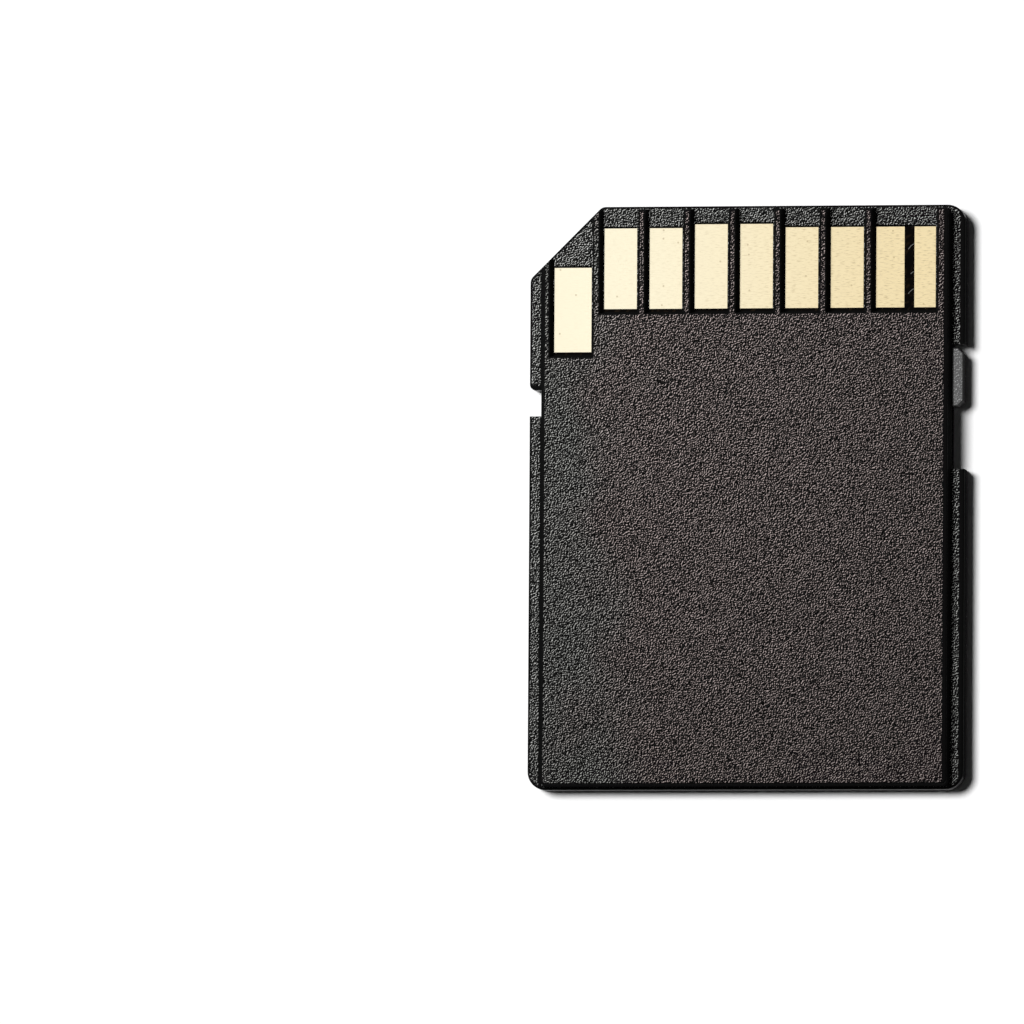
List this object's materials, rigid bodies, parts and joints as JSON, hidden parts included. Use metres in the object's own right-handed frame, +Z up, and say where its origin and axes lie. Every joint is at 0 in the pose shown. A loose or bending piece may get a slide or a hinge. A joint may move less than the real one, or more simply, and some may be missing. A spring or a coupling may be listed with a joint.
{
  "type": "memory card",
  "caption": "Full-size camera memory card with a cut corner, side rails, ribbed windows over gold contacts, a lock notch and a sliding write-protect tab.",
  "frame": {"origin": "centre of the label face, which is the face the card rests on", "axes": "+X across the card towards the write-protect slider, +Y along it towards the contact end, +Z up through the thickness from the label face to the contact side"},
  "size_m": [0.024, 0.032, 0.0021],
  "materials": {
    "case_plastic": "spark-eroded matt grain",
    "slider_plastic": "fine matt grain",
    "contact_gold": "plated gold, lightly brushed",
    "board_mask": "black solder mask",
    "chip_resin": "moulded resin",
    "capacitor_ceramic": "fired ceramic with tinned ends",
    "resistor_ceramic": "glazed ceramic with tinned ends",
    "label_print": "printed film"
  },
  "bodies": {
    "card": {"front_cover": "case_plastic", "rear_cover": "case_plastic", "circuit_board": "board_mask", "contact_1": "contact_gold", "contact_2": "contact_gold", "contact_3": "contact_gold", "contact_4": "contact_gold", "contact_5": "contact_gold", "contact_6": "contact_gold", "contact_7": "contact_gold", "contact_8": "contact_gold", "contact_9": "contact_gold", "memory_chip": "chip_resin", "controller_chip": "chip_resin", "capacitor_1": "capacitor_ceramic", "capacitor_2": "capacitor_ceramic", "capacitor_3": "capacitor_ceramic", "capacitor_4": "capacitor_ceramic", "resistor_1": "resistor_ceramic", "resistor_2": "resistor_ceramic", "resistor_3": "resistor_ceramic", "resistor_4": "resistor_ceramic", "resistor_5": "resistor_ceramic", "resistor_6": "resistor_ceramic", "label": "label_print"},
    "slider": {"write_protect_slider": "slider_plastic"}
  },
  "joints": [
    {"name": "write_protect_slide", "type": "slide", "parent": "card", "child": "slider", "axis": [0, 1, 0], "range_m": [-0.00325, 0]}
  ]
}
